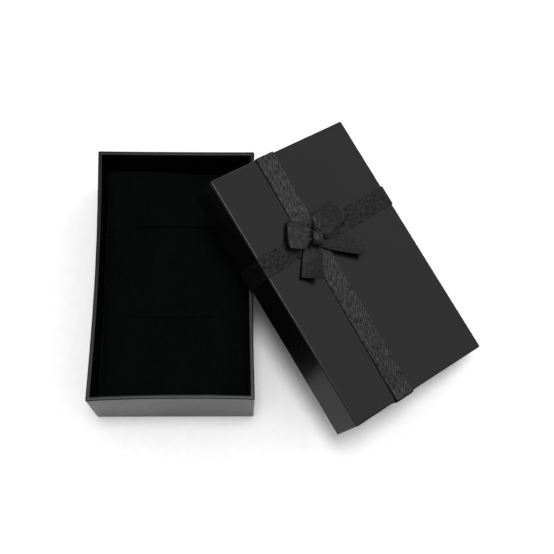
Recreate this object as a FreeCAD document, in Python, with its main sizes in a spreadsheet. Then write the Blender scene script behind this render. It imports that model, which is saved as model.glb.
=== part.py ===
import FreeCAD, Part
import math
import os
import Sketcher

# A small two-piece jewelry gift box: a deep tray with a velvet pad, and a shallow lid with
# satin ribbon and a bow. The lid leans on the tray's right rim, with one corner on the table.
# Millimetres. Origin at the centre of the tray's underside, +Z up, +Y along the tray.
#
# Every shell piece is drawn in a frame that stands on its closed end, with its mouth up.
# The lid's shells are the same shapes turned over.

SHEET = "dims"

DRIVING_SIZES = [
    # tray and lid, outside
    ("tray_width", 47.0),
    ("tray_length", 77.0),
    ("tray_height", 23.5),
    ("tray_turn_in", 15.0),
    ("lid_width", 50.0),
    ("lid_length", 80.0),
    ("lid_height", 13.0),
    ("lid_turn_in", 10.0),
    # greyboard, wrapping paper and the gummed tape that stays each corner
    ("board_thick", 1.0),
    ("paper_thick", 0.12),
    ("stay_thick", 0.1),
    ("stay_leg", 7.0),
    # velvet pad in the tray
    ("pad_clearance", 0.26),
    ("foam_thick", 10.0),
    ("velvet_thick", 0.5),
    ("slit_length", 26.0),
    ("slit_gap", 0.4),
    ("slit_depth", 5.0),
    ("front_slit_y", -11.0),
    ("back_slit_y", 18.0),
    # ribbons round the lid
    ("ribbon_width", 6.35),
    ("ribbon_thick", 0.2),
    ("ribbon_tuck", 8.0),
    ("ribbon_ramp", 0.8),
    ("long_ribbon_x", -6.0),
    ("cross_ribbon_y", 12.0),
    # bow, centred where the ribbons cross
    ("bow_x", -6.1),
    ("bow_y", 11.6),
    ("glue_radius", 2.0),
    ("glue_thick", 0.4),
    ("knot_radius", 2.3),
    ("neck_width", 2.2),
    ("neck_thick", 1.0),
    ("loop_rise", 1.7),
    ("loop_width", 9.0),
    ("left_loop_angle", 143.0),
    ("left_loop_reach", 9.0),
    ("right_loop_angle", 21.0),
    ("right_loop_reach", 12.0),
    ("front_tail_angle", 230.0),
    ("front_tail_reach", 12.8),
    ("right_tail_angle", -36.0),
    ("right_tail_reach", 15.5),
    # how the lid leans: its centre's distance out from the rim in its own opening plane,
    # its shift along the rim, its turn in that plane, and its clearance above the rim
    ("lean_out", 24.35),
    ("lean_along", 0.0),
    ("lean_turn", 33.25),
    ("lean_gap", 0.35),
]

doc = FreeCAD.newDocument("gift_box")
sheet = doc.addObject("Spreadsheet::Sheet", SHEET)


def fill_sheet():
    for row, (alias, value) in enumerate(DRIVING_SIZES, start=1):
        sheet.set("A%d" % row, alias)
        sheet.set("B%d" % row, str(value))
        sheet.setAlias("B%d" % row, alias)
    doc.recompute()


def size(formula):
    """The value now of a formula over the sheet's names."""
    return float(sheet.evalExpression(formula))


def bound(formula):
    """The same formula, as another object has to write it."""
    words = formula.replace("(", "( ").replace(")", " )").split(" ")
    aliases = {alias for alias, _ in DRIVING_SIZES}
    return " ".join("%s.%s" % (SHEET, word) if word in aliases else word for word in words)


# ---------------------------------------------------------------- drawing helpers


def new_body(label):
    body = doc.addObject("PartDesign::Body", label)
    body.Label = label
    return body


def sketch_on(body, role, lift="0", turn="", turn_axis=(0, 0, 1)):
    """A sketch on one of the body's own origin planes, lifted along its normal and turned."""
    planes = {feature.Role: feature for feature in body.Origin.OriginFeatures}
    sketch = body.newObject("Sketcher::SketchObject", "%s_sketch" % body.Name)
    sketch.AttachmentSupport = [(planes[role], "")]
    sketch.MapMode = "FlatFace"
    if turn:
        rotation = FreeCAD.Rotation(FreeCAD.Vector(*turn_axis), size(turn))
        sketch.AttachmentOffset = FreeCAD.Placement(FreeCAD.Vector(0, 0, 0), rotation)
        sketch.setExpression("AttachmentOffset.Rotation.Angle", "%s * 1 deg" % bound(turn))
    sketch.setExpression("AttachmentOffset.Base.z", bound(lift))
    return sketch


def fix_point(sketch, edge, end, spot):
    """Hold one end (1 or 2) or the centre (3) of an edge at a pair of sheet formulas."""
    for axis, formula in zip(("DistanceX", "DistanceY"), spot):
        if formula is not None:
            held = Sketcher.Constraint(axis, -1, 1, edge, end, size(formula))
            number = sketch.addConstraint(held)
            sketch.setExpression("Constraints[%d]" % number, bound(formula))


def add_outline(sketch, corners):
    """A closed outline of straight edges through corners given as sheet formulas."""
    spots = [FreeCAD.Vector(size(across), size(up), 0) for across, up in corners]
    first = sketch.GeometryCount
    count = len(corners)
    for number in range(count):
        sketch.addGeometry(Part.LineSegment(spots[number], spots[(number + 1) % count]), False)
    for number in range(count):
        following = first + (number + 1) % count
        sketch.addConstraint(Sketcher.Constraint("Coincident", first + number, 2, following, 1))
    for number, corner in enumerate(corners):
        fix_point(sketch, first + number, 1, corner)


def add_rectangle(sketch, half_width, half_length, centre_y="0"):
    low = "%s - ( %s )" % (centre_y, half_length)
    high = "%s + ( %s )" % (centre_y, half_length)
    left = "0 - ( %s )" % half_width
    add_outline(sketch, [(left, low), (half_width, low), (half_width, high), (left, high)])


def add_round_ended(sketch, near, near_half, far, far_half):
    """A drop shape along the sketch's x: a narrow near end and a half-round far end.

    near and far are distances along x, far being the centre of the round end; near_half of
    None brings the near end to a point.
    """
    middle = "%s + loop_rise" % LOOP_REST
    top = "%s + %s" % (middle, far_half)
    low = "%s - %s" % (middle, far_half)
    if near_half is None:
        corners = [(far, top), (near, middle), (far, low)]
    else:
        near_top = "%s + %s" % (middle, near_half)
        near_low = "%s - %s" % (middle, near_half)
        corners = [(far, top), (near, near_top), (near, near_low), (far, low)]
    spots = [FreeCAD.Vector(size(across), size(up), 0) for across, up in corners]
    first = sketch.GeometryCount
    for start, end in zip(spots[:-1], spots[1:]):
        sketch.addGeometry(Part.LineSegment(start, end), False)
    lines = len(corners) - 1
    tip = FreeCAD.Vector(size(far) + size(far_half), size(middle), 0)
    sketch.addGeometry(Part.Arc(spots[-1], tip, spots[0]), False)
    arc = first + lines
    for number in range(lines - 1):
        joined = Sketcher.Constraint("Coincident", first + number, 2, first + number + 1, 1)
        sketch.addConstraint(joined)
    sketch.addConstraint(Sketcher.Constraint("Coincident", arc - 1, 2, arc, 1))
    sketch.addConstraint(Sketcher.Constraint("Coincident", arc, 2, first, 1))
    for number, corner in enumerate(corners[:-1]):
        fix_point(sketch, first + number, 1, corner)
    fix_point(sketch, arc - 1, 2, corners[-1])
    fix_point(sketch, arc, 3, (far, None))


def raise_pad(body, sketch, length, symmetric=False):
    pad = body.newObject("PartDesign::Pad", "%s_pad" % body.Name)
    pad.Profile = sketch
    if symmetric:
        pad.SideType = "Symmetric"
    pad.setExpression("Length", bound(length))
    sketch.Visibility = False
    body.Tip = pad
    return pad


def sink_pocket(body, sketch, depth, upward=False):
    """A pocket against the sketch's normal, or along it when upward."""
    pocket = body.newObject("PartDesign::Pocket", "%s_pocket" % body.Name)
    pocket.Profile = sketch
    pocket.Reversed = upward
    pocket.setExpression("Length", bound(depth))
    sketch.Visibility = False
    body.Tip = pocket
    return pocket


def check_volume(body, formula):
    """A pocket that misses its solid shows no error, so the volume is compared."""
    doc.recompute()
    wanted = size(formula)
    if abs(body.Shape.Volume - wanted) > 0.001 * wanted:
        raise RuntimeError("%s has volume %.3f, not %.3f" % (body.Label, body.Shape.Volume, wanted))


# ---------------------------------------------------------------- the two shells


def shell_formulas(name):
    """Formulas of the shell called tray or lid, from the outside in."""
    half_width = "%s_width / 2" % name
    half_length = "%s_length / 2" % name
    return {
        "height": "%s_height" % name,
        "turn_in": "%s_turn_in" % name,
        "outer": (half_width, half_length),
        "board": (half_width + " - paper_thick", half_length + " - paper_thick"),
        "board_in": (half_width + " - paper_thick - board_thick",
                     half_length + " - paper_thick - board_thick"),
        "mouth": (half_width + " - 2 * paper_thick - board_thick",
                  half_length + " - 2 * paper_thick - board_thick"),
    }


CORNERS = [("-1", "-1"), ("1", "-1"), ("1", "1"), ("-1", "1")]


def stay_corners(shell, side_x, side_y):
    """The L of one corner stay: tape folded round the outside of the board's upright edge."""
    across, along = shell["board"]
    shape = [
        ("0", "0"), ("stay_leg", "0"), ("stay_leg", "stay_thick"),
        ("stay_thick", "stay_thick"), ("stay_thick", "stay_leg"), ("0", "stay_leg"),
    ]
    return [
        ("%s * ( %s - %s )" % (side_x, across, inward_x),
         "%s * ( %s - %s )" % (side_y, along, inward_y))
        for inward_x, inward_y in shape
    ]


def make_board(name):
    """Greyboard scored and folded up into an open box, with the stays pressed into it."""
    shell = shell_formulas(name)
    body = new_body("%s_board" % name)
    outside = sketch_on(body, "XY_Plane", "paper_thick")
    add_rectangle(outside, *shell["board"])
    raise_pad(body, outside, "%s - 2 * paper_thick" % shell["height"])
    inside = sketch_on(body, "XY_Plane", "%s - paper_thick" % shell["height"])
    add_rectangle(inside, *shell["board_in"])
    sink_pocket(body, inside, "%s - 2 * paper_thick - board_thick" % shell["height"])
    for side_x, side_y in CORNERS:
        recess = sketch_on(body, "XY_Plane", "%s - paper_thick" % shell["height"])
        add_outline(recess, stay_corners(shell, side_x, side_y))
        sink_pocket(body, recess, "%s - 2 * paper_thick" % shell["height"])
    wall_top = "( %s - 2 * paper_thick )" % shell["height"]
    full = "4 * ( %s ) * ( %s ) * %s" % (*shell["board"], wall_top)
    hollow = "4 * ( %s ) * ( %s ) * ( %s - board_thick )" % (*shell["board_in"], wall_top)
    stay = "stay_thick * ( 2 * stay_leg - stay_thick ) * %s" % wall_top
    check_volume(body, "%s - %s - 4 * %s" % (full, hollow, stay))
    return body


def make_corner_stays(name):
    """Four strips of gummed paper tape, one round each upright corner of the board."""
    shell = shell_formulas(name)
    stays = []
    for number, (side_x, side_y) in enumerate(CORNERS, start=1):
        body = new_body("%s_corner_stay_%d" % (name, number))
        section = sketch_on(body, "XY_Plane", "paper_thick")
        add_outline(section, stay_corners(shell, side_x, side_y))
        raise_pad(body, section, "%s - 2 * paper_thick" % shell["height"])
        stays.append(body)
    return stays


def make_wrap(name):
    """Wrapping paper over the closed end and walls, over the rim and turned in inside."""
    shell = shell_formulas(name)
    body = new_body("%s_wrap" % name)
    outside = sketch_on(body, "XY_Plane")
    add_rectangle(outside, *shell["outer"])
    raise_pad(body, outside, shell["height"])

    mouth = sketch_on(body, "XY_Plane", shell["height"])
    add_rectangle(mouth, *shell["mouth"])
    sink_pocket(body, mouth, "%s - paper_thick" % shell["height"])

    board_room = sketch_on(body, "XY_Plane", "%s - paper_thick" % shell["height"])
    add_rectangle(board_room, *shell["board"])
    add_rectangle(board_room, *shell["board_in"])
    sink_pocket(body, board_room, "%s - 2 * paper_thick" % shell["height"])

    below_turn_in = sketch_on(body, "XY_Plane", "%s - %s" % (shell["height"], shell["turn_in"]))
    add_rectangle(below_turn_in, *shell["board_in"])
    add_rectangle(below_turn_in, *shell["mouth"])
    sink_pocket(body, below_turn_in, "%s - %s - paper_thick" % (shell["height"], shell["turn_in"]))

    full = "4 * ( %s ) * ( %s ) * %s" % (*shell["outer"], shell["height"])
    room = "4 * ( %s ) * ( %s ) * ( %s - 2 * paper_thick )" % (*shell["board"], shell["height"])
    rim_hole = "4 * ( %s ) * ( %s ) * paper_thick" % shell["mouth"]
    lining = "( %s - paper_thick ) * 4 * ( ( %s ) * ( %s ) - ( %s ) * ( %s ) )" % (
        shell["turn_in"], *shell["board_in"], *shell["mouth"])
    check_volume(body, "%s - %s - %s + %s" % (full, room, rim_hole, lining))
    return body


def make_liner(name):
    """A sheet of plain black paper glued over the bare board of the closed end, inside."""
    shell = shell_formulas(name)
    body = new_body("%s_liner" % name)
    sheet_outline = sketch_on(body, "XY_Plane", "paper_thick + board_thick")
    add_rectangle(sheet_outline, *shell["board_in"])
    raise_pad(body, sheet_outline, "paper_thick")
    return body


def make_shell(name):
    board = make_board(name)
    stays = make_corner_stays(name)
    wrap = make_wrap(name)
    liner = make_liner(name)
    return [board] + stays + [wrap, liner]


# ---------------------------------------------------------------- the pad


PAD_FLOOR = "2 * paper_thick + board_thick"
PAD_HALF_WIDTH = "tray_width / 2 - 2 * paper_thick - board_thick - pad_clearance"
PAD_HALF_LENGTH = "tray_length / 2 - 2 * paper_thick - board_thick - pad_clearance"


def cut_slits(body, top, depth):
    """Two knife cuts across the pad, where rings and earring cards are pushed in."""
    for slit_y in ("front_slit_y", "back_slit_y"):
        slit = sketch_on(body, "XY_Plane", top)
        add_rectangle(slit, "slit_length / 2", "slit_gap / 2", slit_y)
        sink_pocket(body, slit, depth)


def make_pad_foam():
    body = new_body("pad_foam")
    block = sketch_on(body, "XY_Plane", PAD_FLOOR)
    half_width = PAD_HALF_WIDTH + " - velvet_thick"
    half_length = PAD_HALF_LENGTH + " - velvet_thick"
    add_rectangle(block, half_width, half_length)
    raise_pad(body, block, "foam_thick")
    cut_slits(body, PAD_FLOOR + " + foam_thick", "slit_depth")
    full = "4 * ( %s ) * ( %s ) * foam_thick" % (half_width, half_length)
    check_volume(body, full + " - 2 * slit_length * slit_gap * slit_depth")
    return body


def make_pad_velvet():
    """Flocked velvet over the foam's top and down its four sides."""
    body = new_body("pad_velvet")
    outside = sketch_on(body, "XY_Plane", PAD_FLOOR)
    add_rectangle(outside, PAD_HALF_WIDTH, PAD_HALF_LENGTH)
    raise_pad(body, outside, "foam_thick + velvet_thick")
    foam_room = sketch_on(body, "XY_Plane", PAD_FLOOR)
    half_width = PAD_HALF_WIDTH + " - velvet_thick"
    half_length = PAD_HALF_LENGTH + " - velvet_thick"
    add_rectangle(foam_room, half_width, half_length)
    sink_pocket(body, foam_room, "foam_thick", upward=True)
    cut_slits(body, PAD_FLOOR + " + foam_thick + velvet_thick", "velvet_thick")
    full = "4 * ( %s ) * ( %s ) * ( foam_thick + velvet_thick )" % (PAD_HALF_WIDTH, PAD_HALF_LENGTH)
    room = "4 * ( %s ) * ( %s ) * foam_thick" % (half_width, half_length)
    check_volume(body, "%s - %s - 2 * slit_length * slit_gap * velvet_thick" % (full, room))
    return body


# ---------------------------------------------------------------- ribbons round the lid
# These, and the bow, are drawn in the lid's own frame: z from its opening plane up to its top.


WALL = "( 2 * paper_thick + board_thick )"


def ribbon_path(half_span, hump=None):
    """Section of a ribbon over the lid's top, down its walls, under the rim and up inside.

    half_span is half the lid along the ribbon. hump is where the ribbon rises over another
    one: the formulas of the start and end of the raised stretch.
    """
    wall_in = "%s - %s" % (half_span, WALL)
    outside = "%s + ribbon_thick" % half_span
    inside = "%s - ribbon_thick" % wall_in
    rim = "0 - ribbon_thick"
    top = "lid_height + ribbon_thick"
    right_side = [
        (half_span, "lid_height"), (half_span, "0"), (wall_in, "0"), (wall_in, "ribbon_tuck"),
        (inside, "ribbon_tuck"), (inside, rim), (outside, rim), (outside, top),
    ]
    left_side = [("0 - ( %s )" % across, up) for across, up in reversed(right_side)]
    over = []
    under = []
    if hump:
        start, end = hump
        raised = top + " + ribbon_thick"
        over = [(end + " + ribbon_ramp", top), (end, raised), (start, raised),
                (start + " - ribbon_ramp", top)]
        under = [(start + " - ribbon_ramp", "lid_height"), (start, top), (end, top),
                 (end + " + ribbon_ramp", "lid_height")]
    return right_side + over + left_side + under


def make_ribbon_long():
    body = new_body("ribbon_long")
    section = sketch_on(body, "YZ_Plane", "long_ribbon_x")
    add_outline(section, ribbon_path("lid_length / 2"))
    raise_pad(body, section, "ribbon_width", symmetric=True)
    return body


def make_ribbon_cross():
    """The shorter ribbon, which rises over the long one where they cross."""
    body = new_body("ribbon_cross")
    section = sketch_on(body, "XZ_Plane", "0 - cross_ribbon_y")
    hump = ("long_ribbon_x - ribbon_width / 2", "long_ribbon_x + ribbon_width / 2")
    add_outline(section, ribbon_path("lid_width / 2", hump))
    raise_pad(body, section, "ribbon_width", symmetric=True)
    return body


# ---------------------------------------------------------------- the bow
# Drawn in a frame on the lid's top face, at the knot's centre.


TAIL_REST = "2 * ribbon_thick + glue_thick"
LOOP_REST = TAIL_REST + " + ribbon_thick"
LOOPS = ("left_loop", "right_loop")
TAILS = ("front_tail", "right_tail")


def make_bow_glue():
    """The dot of hot glue between the crossed ribbons and the bow's tails."""
    body = new_body("bow_glue")
    dot = sketch_on(body, "XY_Plane", "2 * ribbon_thick")
    spot = Part.Circle(FreeCAD.Vector(0, 0, 0), FreeCAD.Vector(0, 0, 1), size("glue_radius"))
    circle = dot.addGeometry(spot, False)
    dot.addConstraint(Sketcher.Constraint("Coincident", circle, 3, -1, 1))
    radius = dot.addConstraint(Sketcher.Constraint("Radius", circle, size("glue_radius")))
    dot.setExpression("Constraints[%d]" % radius, bound("glue_radius"))
    raise_pad(body, dot, "glue_thick")
    return body


def make_bow_tails():
    """One strip folded at the knot, its two ends lying out flat over the lid."""
    body = new_body("bow_tails")
    for tail in TAILS:
        strip = sketch_on(body, "XY_Plane", TAIL_REST, "%s_angle" % tail)
        half = "ribbon_width / 2"
        start = "0 - knot_radius"
        end = "%s_reach" % tail
        low = "0 - ribbon_width / 2"
        add_outline(strip, [(start, low), (end, low), (end, half), (start, half)])
        raise_pad(body, strip, "ribbon_thick")
    return body


def make_bow_loops():
    """One strip looped to both sides and gathered into a narrow neck at the knot."""
    body = new_body("bow_loops")
    for loop in LOOPS:
        far = "%s_reach - loop_rise" % loop
        ring = sketch_on(body, "XZ_Plane", "0", "%s_angle" % loop, (0, 1, 0))
        add_round_ended(ring, "knot_radius", "neck_thick / 2", far, "loop_rise")
        inner_near = "knot_radius + neck_thick"
        add_round_ended(ring, inner_near, None, far, "( loop_rise - ribbon_thick )")
        raise_pad(body, ring, "loop_width", symmetric=True)
    for loop in LOOPS:
        neck_rest = "%s + loop_rise - neck_thick / 2" % LOOP_REST
        neck = sketch_on(body, "XY_Plane", neck_rest, "%s_angle" % loop)
        half = "neck_width / 2"
        low = "0 - neck_width / 2"
        end = "knot_radius + neck_thick / 4"
        start = "0 - neck_width / 2"
        add_outline(neck, [(start, low), (end, low), (end, half), (start, half)])
        raise_pad(body, neck, "neck_thick")
    return body


def make_bow_knot(bow_loops, placement):
    """The short strip wound round the neck: a stub of it, pierced by the neck."""
    stub = doc.addObject("Part::Cylinder", "knot_stub")
    stub.setExpression("Radius", bound("knot_radius"))
    stub.setExpression("Height", bound("2 * loop_rise"))
    stub.Placement = placement * FreeCAD.Placement(
        FreeCAD.Vector(0, 0, size(LOOP_REST)), FreeCAD.Rotation())
    knot = doc.addObject("Part::Cut", "bow_knot")
    knot.Label = "bow_knot"
    knot.Base = stub
    knot.Tool = bow_loops
    return knot


# ---------------------------------------------------------------- placing the lid


def leaning_placement():
    """The lid's own frame as it leans.

    Its opening plane passes just above the tray's right rim and tips down past it, until
    the corner furthest down that slope touches the table.
    """
    turn = math.radians(size("lean_turn"))
    gap = size("lean_gap")
    reach = size("lean_out")
    reach += size("lid_width / 2") * math.cos(turn) + size("lid_length / 2") * math.sin(turn)
    tip = math.asin(size("tray_height") / math.hypot(reach, gap)) + math.atan2(gap, reach)
    rim = FreeCAD.Placement(
        FreeCAD.Vector(size("tray_width / 2"), 0, size("tray_height")),
        FreeCAD.Rotation(FreeCAD.Vector(0, 1, 0), math.degrees(tip)))
    in_plane = FreeCAD.Placement(
        FreeCAD.Vector(size("lean_out"), size("lean_along"), gap),
        FreeCAD.Rotation(FreeCAD.Vector(0, 0, 1), size("lean_turn")))
    return rim * in_plane


def turned_over(placement):
    """The placement of a shell drawn mouth up, for use mouth down."""
    flip = FreeCAD.Placement(
        FreeCAD.Vector(0, 0, size("lid_height")),
        FreeCAD.Rotation(FreeCAD.Vector(0, 1, 0), 180))
    return placement * flip


def build():
    fill_sheet()
    lid_frame = leaning_placement()
    on_top = FreeCAD.Vector(size("bow_x"), size("bow_y"), size("lid_height"))
    bow_frame = lid_frame * FreeCAD.Placement(on_top, FreeCAD.Rotation())

    tray = make_shell("tray")
    pad = [make_pad_foam(), make_pad_velvet()]
    lid = make_shell("lid")
    for piece in lid:
        piece.Placement = turned_over(lid_frame)
    ribbons = [make_ribbon_long(), make_ribbon_cross()]
    for piece in ribbons:
        piece.Placement = lid_frame
    bow_loops = make_bow_loops()
    bow = [make_bow_glue(), make_bow_tails(), bow_loops]
    for piece in bow:
        piece.Placement = bow_frame
    bow.append(make_bow_knot(bow_loops, bow_frame))
    return tray + pad + lid + ribbons + bow


def check_document(pieces):
    doc.recompute()
    for item in doc.Objects:
        if "Invalid" in item.State or "Error" in item.State:
            raise RuntimeError("%s failed: %s" % (item.Label, item.State))
    for piece in pieces:
        if piece.Shape.isNull() or not piece.Shape.isValid():
            raise RuntimeError("%s has no valid shape" % piece.Label)


def write_parts(pieces):
    os.makedirs("parts", exist_ok=True)
    for piece in pieces:
        piece.Shape.exportStep("parts/%s.step" % piece.Label)
        box = piece.Shape.BoundBox
        print("%-20s %d solid %10.2f mm3  z %.2f to %.2f" % (
            piece.Label, len(piece.Shape.Solids), piece.Shape.Volume, box.ZMin, box.ZMax))


all_pieces = build()
check_document(all_pieces)
write_parts(all_pieces)
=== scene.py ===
import math

import bmesh
import bpy
import numpy as np
from mathutils import Matrix, Vector, noise


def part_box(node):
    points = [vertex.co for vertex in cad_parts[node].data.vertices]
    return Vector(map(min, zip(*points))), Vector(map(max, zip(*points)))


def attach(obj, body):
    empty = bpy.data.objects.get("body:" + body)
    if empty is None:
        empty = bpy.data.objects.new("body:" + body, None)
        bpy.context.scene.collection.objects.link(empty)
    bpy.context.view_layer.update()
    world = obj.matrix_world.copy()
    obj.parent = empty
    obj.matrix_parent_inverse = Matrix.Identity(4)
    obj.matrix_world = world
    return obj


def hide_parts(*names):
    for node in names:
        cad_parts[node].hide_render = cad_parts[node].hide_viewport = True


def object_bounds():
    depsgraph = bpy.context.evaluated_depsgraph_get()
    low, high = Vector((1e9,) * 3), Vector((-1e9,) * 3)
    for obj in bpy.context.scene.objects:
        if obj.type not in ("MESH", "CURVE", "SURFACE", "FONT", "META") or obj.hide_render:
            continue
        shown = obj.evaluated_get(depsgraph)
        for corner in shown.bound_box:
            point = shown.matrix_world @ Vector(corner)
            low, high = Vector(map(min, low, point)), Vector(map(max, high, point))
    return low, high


# A small black jewelry gift box: an open tray with a velvet pad, and its lid, tied with satin
# ribbon and a bow, leaning on the tray's right rim. Metres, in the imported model's own frame.

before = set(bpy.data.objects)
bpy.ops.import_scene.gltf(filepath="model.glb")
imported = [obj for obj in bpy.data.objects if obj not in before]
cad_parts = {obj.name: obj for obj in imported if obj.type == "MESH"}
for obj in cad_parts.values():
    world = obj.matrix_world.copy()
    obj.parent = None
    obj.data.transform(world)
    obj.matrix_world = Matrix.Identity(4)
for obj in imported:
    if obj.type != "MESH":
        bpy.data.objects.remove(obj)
cad_low, cad_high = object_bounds()
scene = bpy.context.scene

MM = 0.001
WELD = 1e-7  # metres: points nearer than this become one
CAD_WELD = 1e-6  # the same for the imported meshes' corners, and for cuts through the pad


# ---- reading the frame


def node_points(node):
    return np.array([vertex.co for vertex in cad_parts[node].data.vertices])


def find_lid_frame():
    """The lid's own frame as it leans: x across, y along, z from its mouth up to its top."""
    points = np.unique(np.round(node_points("lid_wrap"), decimals=6), axis=0)
    directions = np.linalg.eigh(np.cov(points.T))[1]
    up = directions[:, 0] * np.sign(directions[2, 0])
    along = directions[:, 2] * np.sign(directions[1, 2])
    turn = np.column_stack([np.cross(along, up), along, up])
    low, high = (points @ turn).min(0), (points @ turn).max(0)
    mouth_centre = turn @ [(low[0] + high[0]) / 2, (low[1] + high[1]) / 2, low[2]]
    return Matrix.Translation(mouth_centre) @ Matrix(turn.tolist()).to_4x4()


LID_FRAME = find_lid_frame()


def box_in_lid(node):
    """Lowest and highest corner of a node, in the lid's own frame."""
    to_lid = np.array(LID_FRAME.inverted())
    own = node_points(node) @ to_lid[:3, :3].T + to_lid[:3, 3]
    return own.min(0), own.max(0)


# sizes of the two shells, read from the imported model
tray_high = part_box("tray_wrap")[1]
TRAY_HALF = (tray_high.x, tray_high.y)
TRAY_HEIGHT = tray_high.z
lid_high = box_in_lid("lid_wrap")[1]
LID_HALF = (lid_high[0], lid_high[1])
LID_HEIGHT = lid_high[2]
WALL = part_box("tray_liner")[1].z  # a wall is as thick as the floor with its liner

# sizes repeated from the CAD source
PAPER = 0.12 * MM
TRAY_TURN_IN = 15 * MM
LID_TURN_IN = 10 * MM

# the look of a folded paper edge: cells beside a fold are narrow, so that wear stays on the fold
EDGE_RADIUS = 0.50 * MM
RIM_RADIUS = 0.34 * MM
FLAT_MARGIN = 0.6 * MM

# how finely the shells are divided
EDGE_STEPS = 5
CORNER_STEPS = 5
OUTER_WALL_STEPS = 8
INNER_WALL_STEPS = 6
GRID_STEP = 2 * MM


# ---- mesh helpers


def smooth(value):
    """A soft step from 0 to 1, as value goes from 0 to 1."""
    value = max(0, min(1, value))
    return value * value * (3 - 2 * value)


def add_object(name, data):
    made = bpy.data.objects.new(name, data)
    scene.collection.objects.link(made)
    return made


def make_mesh(name, bm, material):
    mesh = bpy.data.meshes.new(name)
    bm.to_mesh(mesh)
    bm.free()
    mesh.materials.append(material)
    return mesh


def add_piece(name, bm, body, slot, material, replaced, place=None, sharp=40):
    """Turns a bmesh into a piece of the object: smooth, but for folds sharper than sharp."""
    mesh = make_mesh(name, bm, material)
    for face in mesh.polygons:
        face.use_smooth = True
    mesh.set_sharp_from_angle(angle=math.radians(sharp))
    piece = add_object(name, mesh)
    if place is not None:
        piece.matrix_world = place
    even = piece.modifiers.new("even_normals", "WEIGHTED_NORMAL")
    even.keep_sharp = True
    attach(piece, body)
    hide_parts(*replaced)
    return piece


def steps_for(length):
    return max(2, round(length / GRID_STEP))


def side_shares(length):
    """Where a side is divided, as shares of its length: even cells, but narrow at both ends."""
    margin = FLAT_MARGIN / length
    count = steps_for(length)
    return [0, margin] + [step / count for step in range(1, count)] + [1 - margin, 1]


def ring(half, inset, corner_radius, height):
    """Points round a box at one height, inset from its sides, with rounded corners."""
    radius = max(corner_radius - inset, 0)
    reach_x = half[0] - inset - radius
    reach_y = half[1] - inset - radius
    centres = [(reach_x, reach_y), (-reach_x, reach_y), (-reach_x, -reach_y), (reach_x, -reach_y)]
    shares = (side_shares(2 * half[0]), side_shares(2 * half[1]))
    points = []
    for quarter in range(4):
        centre = Vector((*centres[quarter], height))
        following = Vector((*centres[(quarter + 1) % 4], height))
        for step in range(CORNER_STEPS + 1):
            angle = (quarter + step / CORNER_STEPS) * math.pi / 2
            outward = Vector((math.cos(angle), math.sin(angle), 0)) * radius
            points.append(centre + outward)
        points += [centre.lerp(following, share) + outward for share in shares[quarter % 2][1:-1]]
    return points


def add_cap(bm, half, inset, height):
    """A flat rectangle of even cells that closes a shell."""
    reach_x, reach_y = half[0] - inset, half[1] - inset
    rows = [
        [bm.verts.new((reach_x * (2 * share_x - 1), reach_y * (2 * share_y - 1), height))
         for share_x in side_shares(2 * half[0])]
        for share_y in side_shares(2 * half[1])
    ]
    for lower, upper in zip(rows[:-1], rows[1:]):
        for i in range(len(lower) - 1):
            bm.faces.new((lower[i], lower[i + 1], upper[i + 1], upper[i]))


def arc(inset, height, radius, start, end):
    """Points of a profile's arc, from one angle to another in degrees."""
    points = []
    for step in range(EDGE_STEPS + 1):
        angle = math.radians(start + (end - start) * step / EDGE_STEPS)
        points.append((inset - radius * math.cos(angle), height + radius * math.sin(angle)))
    return points


def sweep(half, corner_radius, profile):
    """A closed solid: a profile of (inset, height) carried round a box, capped at both ends."""
    bm = bmesh.new()
    rings = [
        [bm.verts.new(point) for point in ring(half, inset, corner_radius, height)]
        for inset, height in profile
    ]
    for lower, upper in zip(rings[:-1], rings[1:]):
        for i in range(len(lower)):
            j = (i + 1) % len(lower)
            bm.faces.new((lower[i], lower[j], upper[j], upper[i]))
    add_cap(bm, half, *profile[0])
    add_cap(bm, half, *profile[-1])
    bmesh.ops.remove_doubles(bm, verts=bm.verts, dist=WELD)
    bmesh.ops.dissolve_degenerate(bm, edges=bm.edges, dist=WELD)
    bmesh.ops.recalc_face_normals(bm, faces=bm.faces)
    return bm


def line(start, end, steps):
    """Points of a profile from one of its points to another, without the first."""
    run, rise = end[0] - start[0], end[1] - start[1]
    return [
        (start[0] + run * step / steps, start[1] + rise * step / steps)
        for step in range(1, steps + 1)
    ]


def wall(start, end, steps):
    """Points up or down a flat wall, without the first; its first and last cells are narrow."""
    margin = (Vector(end) - Vector(start)).normalized() * FLAT_MARGIN
    near, far = Vector(start) + margin, Vector(end) - margin
    return [tuple(near)] + line(near, far, steps) + [end]


def wrap_profile(height, turn_in):
    """The wrapping paper: out over the closed end, up, over the rim and down inside, and back."""
    rim_centre = height - RIM_RADIUS
    inner_rim = WALL - RIM_RADIUS
    flat = EDGE_RADIUS + FLAT_MARGIN
    skin = [(flat, 0)] + arc(EDGE_RADIUS, EDGE_RADIUS, EDGE_RADIUS, -90, 0)
    skin += wall(skin[-1], (0, rim_centre), OUTER_WALL_STEPS)[:-1]
    skin += arc(RIM_RADIUS, rim_centre, RIM_RADIUS, 0, 90)
    skin += arc(inner_rim, rim_centre, RIM_RADIUS, 90, 180)
    skin += wall(skin[-1], (WALL, height - turn_in), INNER_WALL_STEPS)
    glued = arc(inner_rim, rim_centre, RIM_RADIUS - PAPER, 180, 90)
    glued += arc(RIM_RADIUS, rim_centre, RIM_RADIUS - PAPER, 90, 0)
    glued += line(glued[-1], (PAPER, EDGE_RADIUS), OUTER_WALL_STEPS)[:-1]
    glued += arc(EDGE_RADIUS, EDGE_RADIUS, EDGE_RADIUS - PAPER, 0, -90)
    return skin + line(skin[-1], (WALL - PAPER, height - turn_in), 1) + glued + [(flat, PAPER)]


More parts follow.
